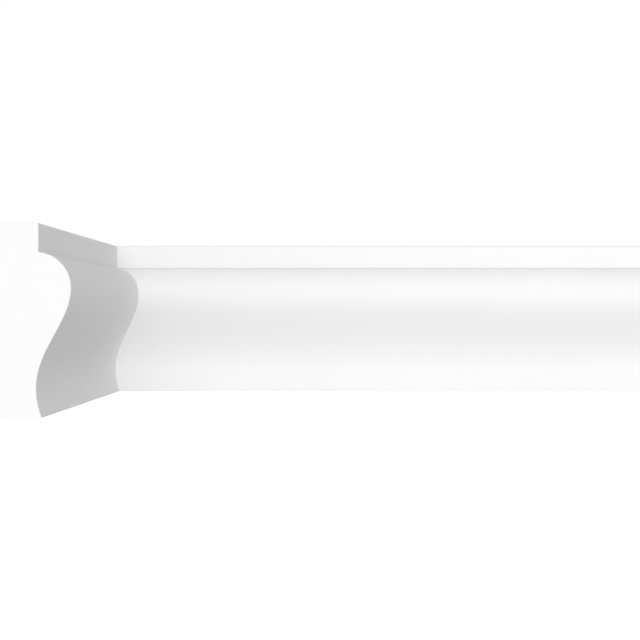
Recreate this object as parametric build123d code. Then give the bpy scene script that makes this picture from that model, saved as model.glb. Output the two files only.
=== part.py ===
from build123d import *
import os

# A wall moulding taken round an inside corner: a long run on one wall and a short return on the
# other, two lengths of the same stock, mitred and glued where they meet.
# The corner of the two walls is the Z axis. The run goes along +X with its back on the plane Y = 0,
# the return goes along -Y with its back on the plane X = 0, and both stand on Z = 0.
# All sizes are in millimetres. A projection is measured out from the wall, a height up from the foot.

# Lengths, each measured along the back from the corner of the walls to the square end
RUN_LENGTH = 2000.0
RETURN_LENGTH = 200.0

# Section, from its top down: flat fillet, ovolo, ogee, hollow, foot
HEIGHT = 60.0
FILLET_HEIGHT = 9.0
FILLET_PROJECTION = 12.0
OVOLO_RADIUS = 11.1
NOSE_PROJECTION = 22.0
HOLLOW_PROJECTION = 11.3
HOLLOW_HEIGHT = 9.2
FOOT_PROJECTION = 13.1

# The ogee between nose and hollow: one smooth curve, upright at both ends, that each handle pulls
# along the upright; a longer handle makes a fuller belly or a longer hollow
NOSE_HANDLE = 10.2
HOLLOW_HANDLE = 11.8

# Rounding of the two outer arrises
FILLET_ARRIS = 0.8
FOOT_ARRIS = 0.3

# The plane that halves the corner, facing the run
MITRE = Plane(origin=(0, 0, 0), x_dir=(0, 0, 1), z_dir=(1, 1, 0))


def moulding_section():
    """The section as a face: X is the projection from the wall, Y the height above the foot."""
    ovolo_top = HEIGHT - FILLET_HEIGHT
    ovolo_centre = Vector(NOSE_PROJECTION - OVOLO_RADIUS, ovolo_top - OVOLO_RADIUS)
    nose = ovolo_centre + Vector(OVOLO_RADIUS, 0)
    spring = ovolo_centre + Vector(0, OVOLO_RADIUS)
    hollow = Vector(HOLLOW_PROJECTION, HOLLOW_HEIGHT)
    foot = Vector(FOOT_PROJECTION, 0)

    back_and_foot = Polyline(spring, (0, ovolo_top), (0, 0), foot)
    flare = TangentArc(hollow, foot, tangent=(0, -1))
    ogee = Bezier(hollow, hollow + Vector(0, HOLLOW_HANDLE), nose - Vector(0, NOSE_HANDLE), nose)
    ovolo = CenterArc(ovolo_centre, OVOLO_RADIUS, 0, 90)
    curved_body = make_face([*back_and_foot.edges(), flare, ogee, ovolo])

    # The band runs down behind the ovolo, which springs from its face
    band = make_face(Polyline((0, nose.Y), (FILLET_PROJECTION, nose.Y), (FILLET_PROJECTION, HEIGHT),
                              (0, HEIGHT), close=True))
    section = curved_body + band
    for arris, radius in (((FILLET_PROJECTION, HEIGHT), FILLET_ARRIS), (foot, FOOT_ARRIS)):
        section = fillet(section.vertices().sort_by_distance(arris)[0], radius)
    return section


def mitred_length(length):
    """A length lying along +X on the wall Y = 0, square at its far end and mitred at the corner."""
    square_end = Plane(origin=(length, 0, 0), x_dir=(0, -1, 0), z_dir=(-1, 0, 0))
    stock = extrude(square_end * moulding_section(), amount=length)
    return split(stock, bisect_by=MITRE, keep=Keep.TOP)


pieces = {
    "run_length": mitred_length(RUN_LENGTH),
    "return_length": mirror(mitred_length(RETURN_LENGTH), about=MITRE),
}

os.makedirs("parts", exist_ok=True)
for node, piece in pieces.items():
    export_step(piece, f"parts/{node}.step")
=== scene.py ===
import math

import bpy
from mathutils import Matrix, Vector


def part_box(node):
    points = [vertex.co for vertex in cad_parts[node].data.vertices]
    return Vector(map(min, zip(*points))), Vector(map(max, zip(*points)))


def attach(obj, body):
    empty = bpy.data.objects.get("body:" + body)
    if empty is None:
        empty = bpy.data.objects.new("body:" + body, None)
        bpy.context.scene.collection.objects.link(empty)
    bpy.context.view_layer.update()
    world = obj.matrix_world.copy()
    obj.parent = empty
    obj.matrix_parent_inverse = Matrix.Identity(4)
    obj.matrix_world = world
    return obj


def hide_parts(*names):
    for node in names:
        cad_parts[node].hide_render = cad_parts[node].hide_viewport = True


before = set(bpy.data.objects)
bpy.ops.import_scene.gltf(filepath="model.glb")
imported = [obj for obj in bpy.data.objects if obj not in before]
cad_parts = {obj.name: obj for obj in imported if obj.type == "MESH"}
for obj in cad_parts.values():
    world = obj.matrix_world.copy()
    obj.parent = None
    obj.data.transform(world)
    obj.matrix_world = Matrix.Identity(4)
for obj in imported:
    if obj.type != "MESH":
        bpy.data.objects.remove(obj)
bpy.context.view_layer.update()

# A wall moulding taken round an inside corner: a long run and a short return of one section, mitred
# where they meet. Each length is its section swept along the wall by one node tree. All sizes are in
# metres, with the corner of the walls at the origin, the run along +X and the return along -Y.

MM = 0.001

# Overall sizes, taken from the frame
RUN_LOW, RUN_HIGH = (Vector(corner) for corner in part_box("run_length"))
RETURN_LOW = Vector(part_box("return_length")[0])
HEIGHT = RUN_HIGH.z
NOSE_PROJECTION = -RUN_LOW.y
RUN_LENGTH = RUN_HIGH.x
RETURN_LENGTH = -RETURN_LOW.y

# Section, from its top down: flat fillet, ovolo, ogee, hollow, foot
FILLET_HEIGHT = 9.0 * MM
FILLET_PROJECTION = 12.0 * MM
OVOLO_RADIUS = 11.1 * MM
NOSE_HANDLE = 10.2 * MM  # the ogee's pull straight down from the nose
HOLLOW_HANDLE = 11.8 * MM  # and straight up from the hollow
HOLLOW_PROJECTION = 11.3 * MM
HOLLOW_HEIGHT = 9.2 * MM
FOOT_PROJECTION = 13.1 * MM
FILLET_ARRIS = 0.8 * MM
FOOT_ARRIS = 0.3 * MM

# The nose is the ovolo's foremost point, and the quirk is where the ovolo meets the fillet
NOSE_HEIGHT = HEIGHT - FILLET_HEIGHT - OVOLO_RADIUS
OVOLO_CENTRE = NOSE_PROJECTION - OVOLO_RADIUS
QUIRK_HEIGHT = NOSE_HEIGHT + math.sqrt(OVOLO_RADIUS ** 2 - (FILLET_PROJECTION - OVOLO_CENTRE) ** 2)

# The stretches of the section, in order round it
WAY_ROUND = ("Foot arris", "Flare", "Ogee", "Ovolo", "Fillet arris", "Back top", "Back foot")
PLACES_PER_STRETCH = 1000  # more than any stretch has points

# How finely a length is divided
ARC_STEP = math.radians(2.0)
OGEE_STEPS = 40
CUT_SPACING = 25.0 * MM
SHARP_ANGLE = math.radians(30.0)
SAME_PLACE = 0.001 * MM  # points closer than this are one
TOUCHING = 0.01 * MM  # what is closer than this to a plane lies on it

# The saw's edge, just eased
END_ARRIS = 0.15 * MM
SAWN_SHARE = 0.75  # of the arris that counts as the sawn end: its faces do, the cut before it doesn't

# Finishes: how light and how rough each is and by how much that varies, and the size and depth of its marks
NOISE_LOW = 0.3  # noise is seldom below this
NOISE_HIGH = 0.7  # or above this

# Primer
PRIMER_SHADE = 0.8
PRIMER_SPREAD = 0.016
PRIMER_ROUGHNESS = (0.52, 0.66)
CLOUD_SIZE = 40.0 * MM
GRAIN_SIZE = 0.5 * MM
GRAIN_DEPTH = 0.003 * MM
PEEL_SIZE = 1.6 * MM
PEEL_DEPTH = 0.008 * MM
STREAK_WIDTH = 3.0 * MM
STREAK_LENGTH = 400.0 * MM
STREAK_DEPTH = 0.004 * MM
# Painted shade in the corner of the quirk under the fillet: how much darker it is there, and how far down the
# ovolo it reaches
QUIRK_PAINTED_SHADE = 0.1  # how much darker the corner of the quirk is
QUIRK_SHADE_REACH = 0.9 * MM

# Back
BACK_SHADE = 0.74
BACK_SPREAD = 0.03
BACK_ROUGHNESS = (0.72, 0.9)
BLOTCH_SIZE = 25.0 * MM
WAVE_SIZE = 14.0 * MM
WAVE_DEPTH = 0.08 * MM
SKIN_SIZE = 0.9 * MM
SKIN_DEPTH = 0.02 * MM

# Sawn foam
FOAM_SHADE = 0.81
FOAM_SPREAD = 0.02
FOAM_ROUGHNESS = (0.9, 0.8)  # from the middle of a cell to its wall
PATCH_SIZE = 6.0 * MM
CELL_SIZE = 0.35 * MM
CELL_WALL = 0.6  # how far from its middle a cell's wall is, as a share of its size
CELL_DEPTH = 0.02 * MM
SAW_PITCH = 0.9 * MM
SAW_DEPTH = 0.006 * MM
BLADE_CENTRE = Vector((95.0, -70.0, 0.0)) * MM


def add_object(name, data):
    """A new object in the scene."""
    thing = bpy.data.objects.new(name, data)
    bpy.context.scene.collection.objects.link(thing)
    return thing


def add_node(tree, kind, inputs=None, **settings):
    """Add a node with its settings; each input is linked to a socket or set to a value."""
    node = tree.nodes.new(kind)
    for name, value in settings.items():
        setattr(node, name, value)
    for key, value in (inputs or {}).items():
        if isinstance(value, bpy.types.NodeSocket):
            tree.links.new(value, node.inputs[key])
        else:
            node.inputs[key].default_value = value
    return node


def figure(tree, operation, *values):
    """One step of arithmetic on values or sockets."""
    return add_node(tree, "ShaderNodeMath", dict(enumerate(values)), operation=operation).outputs[0]


def axes_of(tree, vector):
    """A vector's parts along X, Y and Z."""
    return add_node(tree, "ShaderNodeSeparateXYZ", {"Vector": vector}).outputs


def vector_of(tree, **parts):
    """A vector with the given parts, and nothing along the other axes."""
    return add_node(tree, "ShaderNodeCombineXYZ", parts).outputs[0]


def compare(tree, operation, first, second):
    """Whether two numbers compare as the operation says."""
    node = add_node(tree, "FunctionNodeCompare", {0: first, 1: second},
                    data_type="FLOAT", operation=operation)
    return node.outputs[0]


def stored(tree, geometry, name, value, kind="FLOAT"):
    """The geometry with a value kept on its points under a name."""
    node = add_node(tree, "GeometryNodeStoreNamedAttribute",
                    {"Geometry": geometry, "Name": name, "Value": value}, data_type=kind, domain="POINT")
    return node.outputs[0]


def named(tree, name, kind="FLOAT"):
    """The value that is kept under a name."""
    return add_node(tree, "GeometryNodeInputNamedAttribute", {"Name": name}, data_type=kind).outputs[0]


def section_arcs():
    """The arcs of the section, from the foot up: centre, radius, start and sweep of each."""
    # The flare goes from the hollow to the foot, where a small arris rounds it off
    flare_reach = FOOT_PROJECTION - HOLLOW_PROJECTION
    flare_radius = (flare_reach ** 2 + HOLLOW_HEIGHT ** 2) / (2 * flare_reach)
    arris_drop = HOLLOW_HEIGHT - FOOT_ARRIS
    arris_reach = math.sqrt((flare_radius + FOOT_ARRIS) ** 2 - arris_drop ** 2)
    flare_turn = math.atan2(arris_drop, arris_reach)
    flare_centre = HOLLOW_PROJECTION + flare_radius

    fillet_centre = (FILLET_PROJECTION - FILLET_ARRIS, HEIGHT - FILLET_ARRIS, 0)
    foot_centre = (flare_centre - arris_reach, FOOT_ARRIS, 0)
    ovolo_turn = math.acos((FILLET_PROJECTION - OVOLO_CENTRE) / OVOLO_RADIUS)
    quarter = math.radians(90)
    half = math.radians(180)
    return {
        "Foot arris": (foot_centre, FOOT_ARRIS, -quarter, quarter + flare_turn),
        "Flare": ((flare_centre, HOLLOW_HEIGHT, 0), flare_radius, half + flare_turn, -flare_turn),
        "Ovolo": ((OVOLO_CENTRE, NOSE_HEIGHT, 0), OVOLO_RADIUS, 0.0, ovolo_turn),
        "Fillet arris": (fillet_centre, FILLET_ARRIS, 0.0, quarter),
    }


def ogee_points():
    """The ends of the ogee and their handles, both upright, from the hollow to the nose."""
    return {
        "Hollow": (HOLLOW_PROJECTION, HOLLOW_HEIGHT, 0),
        "Hollow handle": (HOLLOW_PROJECTION, HOLLOW_HEIGHT + HOLLOW_HANDLE, 0),
        "Nose handle": (NOSE_PROJECTION, NOSE_HEIGHT - NOSE_HANDLE, 0),
        "Nose": (NOSE_PROJECTION, NOSE_HEIGHT, 0),
    }


def new_tree(arcs):
    """An empty node tree with an input for every size and finish of a length."""
    tree = bpy.data.node_groups.new("moulding_length", "GeometryNodeTree")
    kinds = {"Height": "Float", "Length": "Float", "Cuts": "Int", "End arris": "Float", "Return": "Bool",
             "Hollow": "Vector", "Hollow handle": "Vector", "Nose handle": "Vector", "Nose": "Vector",
             "Ogee steps": "Int", "Primed face": "Material", "Plain back": "Material", "Sawn end": "Material"}
    for arc in arcs:
        kinds |= {f"{arc} centre": "Vector", f"{arc} radius": "Float", f"{arc} start": "Float",
                  f"{arc} sweep": "Float", f"{arc} points": "Int"}
    for name, kind in kinds.items():
        tree.interface.new_socket(name, in_out="INPUT", socket_type=f"NodeSocket{kind}")
    tree.interface.new_socket("Geometry", in_out="OUTPUT", socket_type="NodeSocketGeometry")
    return tree


def section_stretches(tree, given, arcs):
    """The stretches of the section as points: its arcs, its ogee and its two back corners."""
    curves = {}
    for arc in arcs:
        curve = add_node(tree, "GeometryNodeCurveArc", {
            "Resolution": given[f"{arc} points"], "Radius": given[f"{arc} radius"],
            "Start Angle": given[f"{arc} start"], "Sweep Angle": given[f"{arc} sweep"]}, mode="RADIUS")
        curves[arc] = add_node(tree, "GeometryNodeTransform",
                               {"Geometry": curve.outputs[0], "Translation": given[f"{arc} centre"]})
    curves["Ogee"] = add_node(tree, "GeometryNodeCurvePrimitiveBezierSegment", {
        "Resolution": given["Ogee steps"], "Start": given["Hollow"], "Start Handle": given["Hollow handle"],
        "End Handle": given["Nose handle"], "End": given["Nose"]}, mode="POSITION")

    stretches = {}
    for name, curve in curves.items():
        points = add_node(tree, "GeometryNodeCurveToPoints", {"Curve": curve.outputs[0]}, mode="EVALUATED")
        stretches[name] = points.outputs[0]
    back_top = vector_of(tree, Y=given["Height"])
    stretches["Back top"] = add_node(tree, "GeometryNodePoints", {"Position": back_top}).outputs[0]
    stretches["Back foot"] = add_node(tree, "GeometryNodePoints").outputs[0]
    return stretches


def section_curve(tree, given, arcs):
    """The section as one closed curve through its stretches."""
    stretches = section_stretches(tree, given, arcs)
    index = add_node(tree, "GeometryNodeInputIndex").outputs[0]
    joined = add_node(tree, "GeometryNodeJoinGeometry")
    for place, stretch in enumerate(WAY_ROUND):
        order = figure(tree, "ADD", index, float(place * PLACES_PER_STRETCH))
        tree.links.new(stored(tree, stretches[stretch], "order", order), joined.inputs[0])
    merged = add_node(tree, "GeometryNodeMergeByDistance",
                      {"Geometry": joined.outputs[0], "Distance": SAME_PLACE})
    outline = add_node(tree, "GeometryNodePointsToCurves",
                       {"Points": merged.outputs[0], "Weight": named(tree, "order")})
    closed = add_node(tree, "GeometryNodeSetSplineCyclic", {"Geometry": outline.outputs[0], "Cyclic": True})

    # What each point remembers: its place in the section, the way out of the stock, how far round it is
    place_in_section = axes_of(tree, add_node(tree, "GeometryNodeInputPosition").outputs[0])
    tangent = add_node(tree, "GeometryNodeInputTangent").outputs[0]
    outward = add_node(tree, "ShaderNodeVectorMath", {0: tangent, 1: (0, 0, 1)}, operation="CROSS_PRODUCT")
    around = add_node(tree, "GeometryNodeSplineParameter").outputs["Length"]
    section = stored(tree, closed.outputs[0], "projection", place_in_section["X"])
    section = stored(tree, section, "height", place_in_section["Y"])
    section = stored(tree, section, "outward", outward.outputs[0], "FLOAT_VECTOR")
    return stored(tree, section, "around", around)


def wall_path(tree, given):
    """The path along the wall, whose last cut but one moves up to the arris of the square end."""
    far_end = vector_of(tree, X=given["Length"])
    line = add_node(tree, "GeometryNodeCurvePrimitiveLine", {"End": far_end})
    cuts = add_node(tree, "GeometryNodeResampleCurve", {"Curve": line.outputs[0], "Count": given["Cuts"]})
    index = add_node(tree, "GeometryNodeInputIndex").outputs[0]
    beside_end = compare(tree, "EQUAL", index, figure(tree, "SUBTRACT", given["Cuts"], 2.0))
    arris_start = vector_of(tree, X=figure(tree, "SUBTRACT", given["Length"], given["End arris"]))
    path = add_node(tree, "GeometryNodeSetPosition", {
        "Geometry": cuts.outputs[0], "Selection": beside_end, "Position": arris_start})
    place_on_path = axes_of(tree, add_node(tree, "GeometryNodeInputPosition").outputs[0])
    return stored(tree, path.outputs[0], "along", place_on_path["X"])


def at_square_end(tree, given):
    """Whether a point lies on the sawn end, or a face there or on its arris."""
    sawn = figure(tree, "MULTIPLY", given["End arris"], SAWN_SHARE)
    sawn_from = figure(tree, "SUBTRACT", given["Length"], sawn)
    return compare(tree, "GREATER_EQUAL", named(tree, "along"), sawn_from)


def laid_on_wall(tree, given, swept):
    """The swept length on its wall, mitred at the corner and with the arris on its square end."""
    # At the square end the section draws in by the arris
    draw_in = figure(tree, "MULTIPLY", at_square_end(tree, given), given["End arris"])
    way_out = axes_of(tree, named(tree, "outward", "FLOAT_VECTOR"))
    from_front = figure(tree, "MULTIPLY", draw_in, way_out["X"])
    from_top = figure(tree, "MULTIPLY", draw_in, way_out["Y"])
    projection = figure(tree, "SUBTRACT", named(tree, "projection"), from_front)
    height = figure(tree, "SUBTRACT", named(tree, "height"), from_top)

    # The mitre halves a right angle, so a point starts as far along its wall as it stands out from it
    share = figure(tree, "DIVIDE", named(tree, "along"), given["Length"])
    past_mitre = figure(tree, "SUBTRACT", given["Length"], projection)
    reach = figure(tree, "ADD", projection, figure(tree, "MULTIPLY", share, past_mitre))
    on_run = vector_of(tree, X=reach, Y=figure(tree, "MULTIPLY", projection, -1.0), Z=height)
    on_return = vector_of(tree, X=projection, Y=figure(tree, "MULTIPLY", reach, -1.0), Z=height)
    on_wall = add_node(tree, "GeometryNodeSwitch", {
        "Switch": given["Return"], "False": on_run, "True": on_return}, input_type="VECTOR")
    laid = add_node(tree, "GeometryNodeSetPosition", {"Geometry": swept, "Position": on_wall.outputs[0]})

    # The run is the mirror image of the return, so its faces turn round
    on_run_side = add_node(tree, "FunctionNodeBooleanMath", {0: given["Return"]}, operation="NOT")
    turned = add_node(tree, "GeometryNodeFlipFaces",
                      {"Mesh": laid.outputs[0], "Selection": on_run_side.outputs[0]})
    return turned.outputs[0]


def finished(tree, given, length):
    """The length with sharp arrises and a finish on every face."""
    # Round stretches are smooth, arrises and ends stay sharp
    smooth = add_node(tree, "GeometryNodeSetShadeSmooth", {"Geometry": length}, domain="FACE")
    bend = add_node(tree, "GeometryNodeInputMeshEdgeAngle").outputs["Unsigned Angle"]
    crisp = add_node(tree, "GeometryNodeSetShadeSmooth", {
        "Geometry": smooth.outputs[0], "Selection": compare(tree, "GREATER_THAN", bend, SHARP_ANGLE),
        "Shade Smooth": False}, domain="EDGE")
    whole = add_node(tree, "GeometryNodeRealizeInstances", {"Geometry": crisp.outputs[0]}).outputs[0]

    # Primer on the moulded face, a plain back to the wall and bare foam on the two cut ends
    on_back = compare(tree, "LESS_THAN", named(tree, "projection"), TOUCHING)
    at_mitre = compare(tree, "LESS_THAN", named(tree, "along"), TOUCHING)
    on_cut = add_node(tree, "FunctionNodeBooleanMath",
                      {0: at_mitre, 1: at_square_end(tree, given)}, operation="OR").outputs[0]
    for finish, where in (("Primed face", True), ("Plain back", on_back), ("Sawn end", on_cut)):
        coat = add_node(tree, "GeometryNodeSetMaterial",
                        {"Geometry": whole, "Selection": where, "Material": given[finish]})
        whole = coat.outputs[0]
    return whole


def moulding_tree(arcs):
    """A node tree that sweeps the section along a wall from the mitred corner to a square end."""
    tree = new_tree(arcs)
    given = tree.nodes.new("NodeGroupInput").outputs
    section = section_curve(tree, given, arcs)
    path = wall_path(tree, given)
    swept = add_node(tree, "GeometryNodeCurveToMesh",
                     {"Curve": path, "Profile Curve": section, "Fill Caps": True})
    length = laid_on_wall(tree, given, swept.outputs[0])
    add_node(tree, "NodeGroupOutput", {"Geometry": finished(tree, given, length)})
    return tree


def make_length(name, tree, sizes):
    """One length of the moulding as a plain mesh, with its node tree already applied."""
    piece = add_object(name, bpy.data.meshes.new(name))
    sweep = piece.modifiers.new("sweep", "NODES")
    sweep.node_group = tree
    sockets = {item.name: item.identifier for item in tree.interface.items_tree if item.in_out == "INPUT"}
    for size, value in sizes.items():
        sweep[sockets[size]] = value
    ready = piece.evaluated_get(bpy.context.evaluated_depsgraph_get())
    mesh = bpy.data.meshes.new_from_object(ready)
    piece.modifiers.remove(sweep)
    piece.data = mesh
    mesh.name = name
    for layer in ("order", "projection", "height", "outward"):
        mesh.attributes.remove(mesh.attributes[layer])
    return piece


def new_material(name):
    """A new material and its principled shader."""
    material = bpy.data.materials.new(name)
    material.use_nodes = True
    return material, material.node_tree.nodes["Principled BSDF"]


def grey(lightness):
    """A grey, or white at 1."""
    return (lightness, lightness, lightness, 1)


def lumps(tree, place, size, detail=2.0):
    """Noise about a half, in lumps of the given size."""
    node = add_node(tree, "ShaderNodeTexNoise", {"Vector": place, "Scale": 1 / size, "Detail": detail})
    return node.outputs[0]


def spread(tree, value, low, high, start=NOISE_LOW, end=NOISE_HIGH):
    """A value's range from start to end, laid out from low to high."""
    node = add_node(tree, "ShaderNodeMapRange", {
        "Value": value, "From Min": start, "From Max": end, "To Min": low, "To Max": high})
    return node.outputs[0]


def blend_of(tree, shares):
    """A sum of values, each by its share."""
    total = 0.0
    for value, share in shares:
        total = figure(tree, "MULTIPLY_ADD", value, share, total)
    return total


def set_relief(tree, shader, layers):
    """Bump the shader's normal by layers, each a height from 0 to 1 and its depth."""
    normal = None
    for height, depth in layers:
        bump = add_node(tree, "ShaderNodeBump", {"Height": height, "Strength": 1.0, "Distance": depth})
        if normal:
            tree.links.new(normal, bump.inputs["Normal"])
        normal = bump.outputs[0]
    tree.links.new(normal, shader.inputs["Normal"])


def primed_face():
    """Matt white primer on the moulded face: faint clouds, spray grain, streaks along the stock, and painted
    shade in the corner of the quirk.
    """
    material, shader = new_material("primed_face")
    tree = material.node_tree
    place = add_node(tree, "ShaderNodeTexCoord").outputs["Object"]
    clouds = lumps(tree, place, CLOUD_SIZE, detail=3.0)
    grain = lumps(tree, place, GRAIN_SIZE)
    peel = lumps(tree, place, PEEL_SIZE, detail=1.0)
    along, around = (add_node(tree, "ShaderNodeAttribute", attribute_name=name).outputs["Fac"]
                     for name in ("along", "around"))
    place_in_streaks = vector_of(tree, X=figure(tree, "DIVIDE", along, STREAK_LENGTH),
                                 Y=figure(tree, "DIVIDE", around, STREAK_WIDTH))
    streaks = lumps(tree, place_in_streaks, 1.0)

    # Painted shade: the primer darkens towards the corner of the quirk under the fillet, where shade falls
    height = axes_of(tree, place)["Z"]
    to_corner = spread(tree, height, 0.0, 1.0, QUIRK_HEIGHT - QUIRK_SHADE_REACH, QUIRK_HEIGHT)
    under_fillet = figure(tree, "LESS_THAN", height, QUIRK_HEIGHT)
    painted_shade = figure(tree, "MULTIPLY", to_corner, under_fillet)
    kept = figure(tree, "MULTIPLY_ADD", painted_shade, -QUIRK_PAINTED_SHADE, 1.0)

    tone = blend_of(tree, ((clouds, 0.45), (grain, 0.25), (streaks, 0.3)))
    shade = spread(tree, tone, PRIMER_SHADE - PRIMER_SPREAD, PRIMER_SHADE + PRIMER_SPREAD)
    tree.links.new(figure(tree, "MULTIPLY", shade, kept), shader.inputs["Base Color"])
    gloss = blend_of(tree, ((clouds, 0.3), (grain, 0.4), (streaks, 0.3)))
    tree.links.new(spread(tree, gloss, *PRIMER_ROUGHNESS), shader.inputs["Roughness"])
    set_relief(tree, shader, ((streaks, STREAK_DEPTH), (peel, PEEL_DEPTH), (grain, GRAIN_DEPTH)))
    return material


def plain_back():
    """The back that goes to the wall: bare skin of the foam, with shallow waves and a coarse grain."""
    material, shader = new_material("plain_back")
    tree = material.node_tree
    place = add_node(tree, "ShaderNodeTexCoord").outputs["Object"]
    waves = lumps(tree, place, WAVE_SIZE)
    blotches = lumps(tree, place, BLOTCH_SIZE, detail=4.0)
    skin = lumps(tree, place, SKIN_SIZE, detail=3.0)

    tone = blend_of(tree, ((blotches, 0.6), (skin, 0.4)))
    shade = spread(tree, tone, BACK_SHADE - BACK_SPREAD, BACK_SHADE + BACK_SPREAD)
    tree.links.new(shade, shader.inputs["Base Color"])
    tree.links.new(spread(tree, skin, *BACK_ROUGHNESS), shader.inputs["Roughness"])
    set_relief(tree, shader, ((waves, WAVE_DEPTH), (skin, SKIN_DEPTH)))
    return material


def sawn_end():
    """Bare hard foam where the stock is sawn off: cells cut open, and the faint arcs of the blade."""
    material, shader = new_material("sawn_end")
    tree = material.node_tree
    place = add_node(tree, "ShaderNodeTexCoord").outputs["Object"]
    foam = add_node(tree, "ShaderNodeTexVoronoi", {"Vector": place, "Scale": 1 / CELL_SIZE})
    cells = foam.outputs["Distance"]
    patches = lumps(tree, place, PATCH_SIZE)

    # On either square end X and Y together run across the section, so one circle serves them both
    axis = axes_of(tree, place)
    on_face = vector_of(tree, X=figure(tree, "ADD", axis["X"], axis["Y"]), Y=axis["Z"])
    from_blade = add_node(tree, "ShaderNodeVectorMath", {0: on_face, 1: BLADE_CENTRE}, operation="DISTANCE")
    wobble = figure(tree, "MULTIPLY_ADD", patches, SAW_PITCH, from_blade.outputs["Value"])
    arcs = figure(tree, "SINE", figure(tree, "MULTIPLY", wobble, 2 * math.pi / SAW_PITCH))
    saw_marks = spread(tree, arcs, 0.0, 1.0, -1.0, 1.0)

    tone = blend_of(tree, ((cells, 0.5), (patches, 0.4), (saw_marks, 0.1)))
    shade = spread(tree, tone, FOAM_SHADE - FOAM_SPREAD, FOAM_SHADE + FOAM_SPREAD)
    tree.links.new(shade, shader.inputs["Base Color"])
    tree.links.new(spread(tree, cells, *FOAM_ROUGHNESS, 0.0, CELL_WALL), shader.inputs["Roughness"])
    set_relief(tree, shader, ((saw_marks, SAW_DEPTH), (cells, CELL_DEPTH)))
    return material


def make_pieces():
    """The two lengths, each standing for its solid."""
    arcs = section_arcs()
    tree = moulding_tree(arcs)
    shared = {"Height": HEIGHT, "End arris": END_ARRIS, "Ogee steps": OGEE_STEPS, **ogee_points(),
              "Primed face": primed_face(), "Plain back": plain_back(), "Sawn end": sawn_end()}
    for arc, (centre, radius, start, sweep) in arcs.items():
        shared |= {f"{arc} centre": centre, f"{arc} radius": radius, f"{arc} start": start,
                   f"{arc} sweep": sweep, f"{arc} points": math.ceil(abs(sweep) / ARC_STEP) + 1}
    for node, length in (("run_length", RUN_LENGTH), ("return_length", RETURN_LENGTH)):
        sizes = shared | {"Length": length, "Cuts": math.ceil(length / CUT_SPACING) + 1,
                          "Return": node == "return_length"}
        piece = make_length(f"{node}_primed", tree, sizes)
        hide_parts(node)
        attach(piece, "root")


# The photograph's frame, in pixels, and where the camera's axis meets it
FRAME_WIDTH = 640
AXIS_PIXEL = Vector((344.9, 313.9))
FOCAL_PIXELS = 1770.0
SENSOR_WIDTH = 36.0
CAMERA_PLACE = Vector((105.88, -742.0, 31.97)) * MM
NEAREST_SEEN = 0.01
FARTHEST_SEEN = 100.0


def make_camera():
    """The camera looks straight along +Y at about mid height of the moulding."""
    data = bpy.data.cameras.new("camera")
    data.sensor_width = SENSOR_WIDTH
    data.lens = FOCAL_PIXELS / FRAME_WIDTH * SENSOR_WIDTH
    data.shift_x = 0.5 - AXIS_PIXEL.x / FRAME_WIDTH
    data.shift_y = AXIS_PIXEL.y / FRAME_WIDTH - 0.5
    data.clip_start = NEAREST_SEEN
    data.clip_end = FARTHEST_SEEN
    camera = add_object("camera", data)
    camera.location = CAMERA_PLACE
    camera.rotation_euler = (math.radians(90), 0, 0)
    bpy.context.scene.camera = camera


FLOOR_SIZE = 60.0
FLOOR_SHADE = 0.9
FLOOR_GLOW = 0.7
BACKDROP_GLOW = 1.01  # the dome where it is seen behind the moulding

# How bright the dome is by height: -1 is straight below, 0 the horizon and 1 straight above
DOME = {-1.0: 0.19, -0.5: 0.4, -0.2: 0.4, 0.0: 1.11, 0.2: 0.3, 0.5: 0.3, 1.0: 0.8}

# Soft lights: degrees round from the camera's side, to the right if positive, degrees up, degrees wide
# and strength
LIGHTS = {
    "left": (-30, 0, 170, 0.457),
    "front": (0, 10, 30, 0.092),
    "right": (15, 0, 30, 0.234),
    "behind": (-135, 8, 20, 0.35),
}


def make_floor():
    """A plain pale floor, which takes no part in the light on the moulding."""
    mesh = bpy.data.meshes.new("floor")
    reach = FLOOR_SIZE / 2
    mesh.from_pydata([(-reach, -reach, 0), (reach, -reach, 0), (reach, reach, 0), (-reach, reach, 0)],
                     [], [(0, 1, 2, 3)])
    material, shader = new_material("pale_floor")
    shader.inputs["Base Color"].default_value = grey(FLOOR_SHADE)
    shader.inputs["Roughness"].default_value = 1.0
    shader.inputs["Emission Color"].default_value = grey(1)
    shader.inputs["Emission Strength"].default_value = FLOOR_GLOW
    mesh.materials.append(material)
    floor = add_object("floor", mesh)
    floor.visible_diffuse = False
    floor.visible_glossy = False
    floor.visible_shadow = False


def make_dome():
    """A white dome, brightest about its horizon and overhead."""
    world = bpy.data.worlds.new("white_dome")
    bpy.context.scene.world = world
    world.use_nodes = True
    tree = world.node_tree
    background = tree.nodes["Background"]
    background.inputs["Color"].default_value = grey(1)
    way = axes_of(tree, add_node(tree, "ShaderNodeTexCoord").outputs["Generated"])
    dome = add_node(tree, "ShaderNodeValToRGB", {0: spread(tree, way["Z"], 0.0, 1.0, -1.0, 1.0)})
    stops = dome.color_ramp.elements
    while len(stops) < len(DOME):
        stops.new(1.0)
    for stop, (height, brightness) in zip(stops, DOME.items()):
        stop.position = (height + 1) / 2
        stop.color = grey(brightness)
    seen = add_node(tree, "ShaderNodeLightPath").outputs["Is Camera Ray"]
    strength = add_node(tree, "ShaderNodeMapRange",
                        {"Value": seen, "To Min": dome.outputs[0], "To Max": BACKDROP_GLOW})
    tree.links.new(strength.outputs[0], background.inputs["Strength"])


def make_lights():
    """Soft lights from far off, each of which fills a part of the sky."""
    for name, (side, rise, width, brightness) in LIGHTS.items():
        data = bpy.data.lights.new(name, "SUN")
        data.energy = brightness * math.pi
        data.angle = math.radians(width)
        light = add_object(name, data)
        light.rotation_euler = (math.radians(90 - rise), 0, math.radians(side))


make_pieces()
make_floor()
make_dome()
make_lights()
make_camera()
bpy.context.scene.view_settings.view_transform = "Standard"
